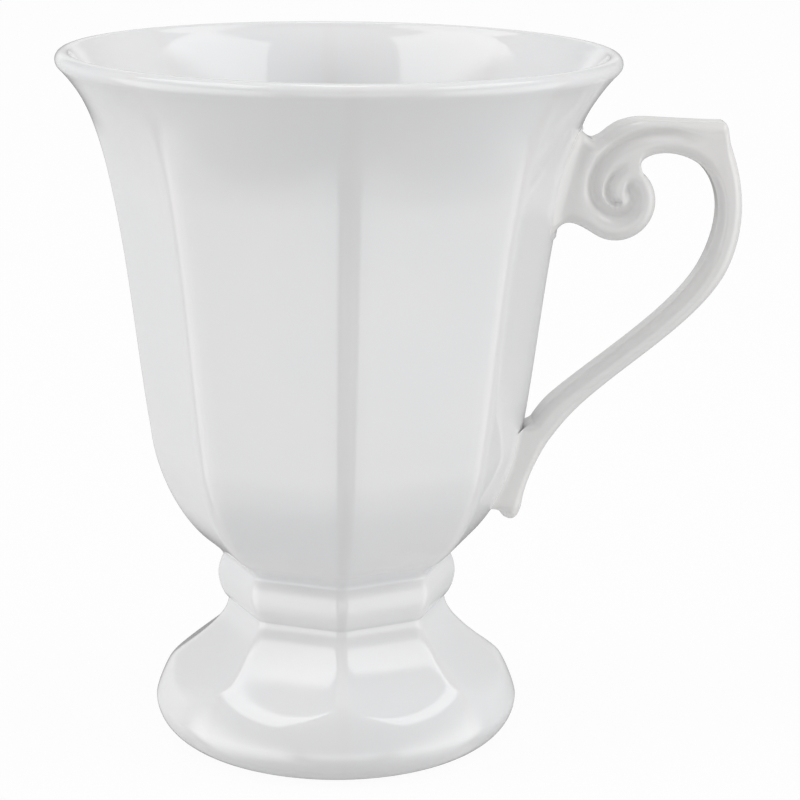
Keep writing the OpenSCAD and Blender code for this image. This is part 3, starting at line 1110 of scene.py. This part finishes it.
@dataclass
class SeatBead:
    """Slip and pooled glaze in the crease between bowl and knop, drawn out to a small cove.

    The cove is a curve from low on the knop to high on the bowl, drawn towards deep. Its back runs
    between two heights above deep, inside the joint.
    """

    bowl: Bowl
    low: Point = (20.12, 31.15)
    deep: Point = (19.67, 32.05)
    high: Point = (22.2, 33.95)
    back: float = 19.3
    back_heights: Point = (0.2, 0.5)
    steps: int = 14
    arc: int = 6
    cuts: int = 11
    shading: float = 50.0

    def build(self) -> bpy.types.Object:
        """Turns the cove on the wheel, with its back inside the joint.

        Returns:
            The piece.
        """
        wheel = Wheel("foot_seat_bead", self.bowl.panels, self.arc, self.cuts)
        wheel.ring(self.back, self.deep[1] + self.back_heights[0], 1.0)
        for i in range(self.steps + 1):
            u = i / self.steps
            wheel.ring(*((1 - u) ** 2 * a + 2 * u * (1 - u) * b + u * u * c
                         for a, b, c in zip(self.low, self.deep, self.high)), 1.0)
        wheel.ring(self.back, self.deep[1] + self.back_heights[1], 1.0)
        piece = wheel.done()
        edit(piece)
        pick_rims(piece)
        bpy.ops.mesh.bridge_edge_loops()
        finish_shell(piece, self.shading)
        return piece


@dataclass(frozen=True)
class Softbox:
    """Large soft lamp. The glaze doesn't mirror it: a window stands for it there.

    Its direction is in degrees, and its sizes and the height that it is aimed at are in metres.
    """

    name: str
    azimuth: float
    elevation: float
    size: Point
    watts: float
    distance: float = 2.6
    aim: float = 0.06

    def build(self) -> None:
        """Hangs the lamp, pointed at the mug's middle."""
        way = direction(self.azimuth, self.elevation)
        lamp = bpy.data.lights.new(self.name, "AREA")
        lamp.shape = "RECTANGLE"
        lamp.size, lamp.size_y = self.size
        lamp.energy = self.watts
        hung = bpy.data.objects.new(self.name, lamp)
        hung.location = way * self.distance + Vector((0, 0, self.aim))
        hung.rotation_euler = way.to_track_quat("Z", "Y").to_euler()
        hung.visible_glossy = False
        bpy.context.scene.collection.objects.link(hung)


@dataclass(frozen=True)
class Window:
    """Bright pane that the glaze reflects; all angles are in degrees.

    It spans the azimuths from left to right and the elevations from low to high, and its edges
    fade over soft to either side, the lower one over soft_low.
    """

    left: float
    right: float
    low: float
    high: float
    strength: float
    soft: float
    soft_low: float


@dataclass
class Studio:
    """White surroundings, soft lamps and the photograph's point of view.

    The camera's place is in degrees and millimetres and its focal length in pixels of the
    photograph. Ambient is the light on the clay. Mirrored is what the glaze shows between the
    windows, and underfoot what it shows of the ground, below the two elevations of underfoot_edge.
    White is how much of the floor glows as the camera sees it.
    """

    azimuth: float = -4.081
    elevation: float = 14.657
    distance: float = 419.743
    focal: float = 2415.315
    photo_width: float = 800.0
    sensor: float = 36.0
    roll: float = 0.707
    aside: float = 10.798
    up: float = 59.386
    ambient: float = 0.615
    mirrored: float = 0.25
    underfoot: float = 0.75
    underfoot_edge: Point = (-46, -36)
    white: float = 0.95
    floor_size: float = 12.0
    floor_grey: float = 0.7
    floor_roughness: float = 0.9
    lamps: list[Softbox] = field(default_factory=lambda: [
        # name, azimuth, elevation, size, watts
        Softbox("soft_left", -85, 25, (1.5, 1.5), 25.0),
        Softbox("soft_right", 80, 25, (1.5, 1.5), 27.0),
        Softbox("overhead", 0, 80, (1.8, 1.8), 11.0),
    ])
    windows: list[Window] = field(default_factory=lambda: [
        # left, right, low, high, strength, soft, soft_low
        Window(-102, -30, -42, 9, 2.0, 9, 15),
        Window(35, 97, -38, 9, 1.75, 9, 16),
        Window(-21, 26, -36, 9, 1.2, 9, 17),
        Window(-112, -44, 38, 67.5, 2.0, 1.5, 6),
        Window(47, 107, 38, 60, 1.8, 1.5, 6),
        Window(-190, -150, 67, 82, 3.0, 3, 3),
        Window(150, 190, 67, 82, 3.0, 3, 3),
        Window(-190, -160, 4, 34, 0.5, 6, 6),
        Window(160, 190, 4, 34, 0.5, 6, 6),
        Window(-165, -111, -40, 14, 0.5, 9, 10),
        Window(106, 165, -40, 14, 0.2, 9, 10),
    ])

    def camera(self) -> None:
        """Sets the camera where it stood for the photograph."""
        a, r = math.radians(self.azimuth), math.radians(self.roll)
        back = direction(self.azimuth, self.elevation)
        right = Vector((math.cos(a), math.sin(a), 0.0))
        upward = back.cross(right)
        place = (right * self.aside + Vector((0, 0, self.up)) + back * self.distance) * MM
        across = right * math.cos(r) + upward * math.sin(r)
        above = upward * math.cos(r) - right * math.sin(r)
        data = bpy.data.cameras.new("photo_view")
        data.sensor_fit = "HORIZONTAL"
        data.sensor_width = self.sensor
        data.lens = self.focal / self.photo_width * self.sensor
        data.clip_start = 0.01
        data.clip_end = 50.0
        view = bpy.data.objects.new("photo_view", data)
        view.matrix_world = Matrix.Translation(place) @ Matrix((across, above, back)).transposed().to_4x4()
        bpy.context.scene.collection.objects.link(view)
        bpy.context.scene.camera = view

    def surroundings(self) -> None:
        """White world with the windows that the glaze mirrors, and a plain soft light elsewhere."""
        world = bpy.data.worlds.new("white_room")
        bpy.context.scene.world = world
        world.use_nodes = True
        tree = world.node_tree
        nodes, links = tree.nodes, tree.links
        background = nodes["Background"]
        background.inputs["Color"].default_value = (1.0, 1.0, 1.0, 1.0)
        split = nodes.new("ShaderNodeSeparateXYZ")
        links.new(nodes.new("ShaderNodeTexCoord").outputs["Generated"], split.inputs[0])
        ahead = math_node(tree, "MULTIPLY", split.outputs["Y"], -1.0)
        turn = math_node(tree, "ARCTAN2", split.outputs["X"], ahead)
        rise = math_node(tree, "ARCSINE", split.outputs["Z"])
        above = step_node(tree, rise, *(math.radians(x) for x in self.underfoot_edge))
        lift = self.mirrored - self.underfoot
        mirrored = math_node(tree, "MULTIPLY_ADD", above, lift, self.underfoot)
        for pane in self.windows:
            wide = self.span(tree, turn, pane.left, pane.right, pane.soft, pane.soft)
            tall = self.span(tree, rise, pane.low, pane.high, pane.soft_low, pane.soft)
            shape = math_node(tree, "MULTIPLY", wide, tall)
            mirrored = math_node(tree, "MULTIPLY_ADD", shape, pane.strength, mirrored)
        path = nodes.new("ShaderNodeLightPath")
        seen = mix_node(tree, Mix.NUMBER, path.outputs["Is Glossy Ray"], self.ambient, mirrored)
        seen = mix_node(tree, Mix.NUMBER, path.outputs["Is Camera Ray"], seen, 1.0)
        seen = mix_node(tree, Mix.NUMBER, path.outputs["Is Transmission Ray"], seen, 1.0)
        links.new(seen, background.inputs["Strength"])

    @staticmethod
    def span(tree: Tree, angle: Socket, low: float, high: float, soft_low: float,
             soft_high: float) -> Socket:
        """Mask along an angle.

        Args:
            tree: the tree that gets the nodes.
            angle: the angle, in radians.
            low: where the mask rises to 1, in degrees like the rest.
            high: where it falls to 0 again.
            soft_low: half of the span over which it rises.
            soft_high: half of the span over which it falls.

        Returns:
            The mask's socket.
        """
        start = step_node(tree, angle, math.radians(low - soft_low), math.radians(low + soft_low))
        stop = step_node(tree, angle, math.radians(high + soft_high), math.radians(high - soft_high))
        return math_node(tree, "MULTIPLY", start, stop)

    def floor(self) -> None:
        """Plain white floor that keeps a faint shadow."""
        object_mode()
        bpy.ops.object.select_all(action="DESELECT")
        bpy.ops.mesh.primitive_plane_add(size=self.floor_size, location=(0, 0, 0))
        plane = bpy.context.object
        plane.name = "floor"
        material = bpy.data.materials.new("white_floor")
        material.use_nodes = True
        tree = material.node_tree
        nodes, links = tree.nodes, tree.links
        shader = nodes["Principled BSDF"]
        shader.inputs["Base Color"].default_value = (*[self.floor_grey] * 3, 1.0)
        shader.inputs["Roughness"].default_value = self.floor_roughness
        shader.inputs["Specular IOR Level"].default_value = 0.0
        glow = nodes.new("ShaderNodeEmission")
        path = nodes.new("ShaderNodeLightPath")
        both = nodes.new("ShaderNodeMixShader")
        links.new(math_node(tree, "MULTIPLY", path.outputs["Is Camera Ray"], self.white), both.inputs["Fac"])
        links.new(shader.outputs[0], both.inputs[1])
        links.new(glow.outputs[0], both.inputs[2])
        links.new(both.outputs[0], nodes["Material Output"].inputs["Surface"])
        plane.data.materials.append(material)
        plane.visible_glossy = False

    def build(self) -> None:
        """Sets up the camera, the surroundings, the floor and the lamps."""
        self.camera()
        self.surroundings()
        self.floor()
        for lamp in self.lamps:
            lamp.build()
        bpy.context.scene.view_settings.view_transform = "Standard"


@dataclass
class Mug:
    """The whole mug: bowl, foot, handle and the slip that joins them."""

    bowl: Bowl = field(default_factory=Bowl)
    foot: Foot = field(default_factory=Foot)
    white: Colour = (0.805, 0.805, 0.812)
    pooled_white: Colour = (0.79, 0.795, 0.803)
    # The handle's two whites are darker and warmer than the bowl's: painted shade, for the handle getting
    # less light and warm light bounced off the bowl.
    handle_shaded_white: Colour = (0.79, 0.782, 0.775)
    handle_shaded_pooled: Colour = (0.775, 0.77, 0.765)

    def finishes(self) -> list[Porcelain]:
        """Lists what each piece is finished in.

        Returns:
            The finishes of the bowl, the foot, the handle and the slip.
        """
        white, pooled = self.white, self.pooled_white
        return [
            Porcelain("clear_glaze", white, pooled, roughness=0.05, ridges=0.5),
            # The foot's higher IOR is painted sheen: its glaze reflects more strongly than the bowl's, for
            # brighter highlights on the foot.
            Porcelain("glazed_foot_bright_sheen", white, pooled, roughness=0.04, ridges=0.3, bare_below=0.0006, ior=1.68),
            # Painted shade: the handle's whites are darker and warmer than the bowl's.
            Porcelain("handle_shaded_glaze", self.handle_shaded_white, self.handle_shaded_pooled, roughness=0.05),
            Porcelain("glazed_slip", pooled, white, roughness=0.09),
        ]

    def dress(self, piece: bpy.types.Object, material: bpy.types.Material, node: str) -> None:
        """Gives a piece its finish and its place in the frame.

        Args:
            piece: the piece.
            material: its finish.
            node: the CAD node that it stands for.
        """
        piece.data.materials.clear()
        piece.data.materials.append(material)
        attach(piece, "root")
        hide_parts(node)
        log.info("%s: %d faces", piece.name, len(piece.data.polygons))

    def build(self) -> None:
        """Builds every piece and dresses it."""
        flow = GlazeFlow().build()
        glaze, foot_sheen_glaze, handle_shaded_glaze, slip_glaze = (f.material(flow) for f in self.finishes())
        self.dress(self.bowl.build(), glaze, "bowl")
        self.dress(self.foot.build(), foot_sheen_glaze, "foot")
        self.dress(Handle(self.bowl).build(), handle_shaded_glaze, "handle")
        self.dress(SeatBead(self.bowl).build(), slip_glaze, "foot_slip_joint")
        for node in ("handle_upper_slip_joint", "handle_lower_slip_joint"):
            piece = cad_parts[node]
            for slot in piece.material_slots:
                slot.material = slip_glaze
            log.info("%s: the frame's own form, dressed", node)


def main() -> None:
    """Builds the mug and the studio."""
    logging.basicConfig(level=logging.INFO, format="%(name)s: %(message)s")
    Mug().build()
    Studio().build()


if __name__ == "__main__":
    main()
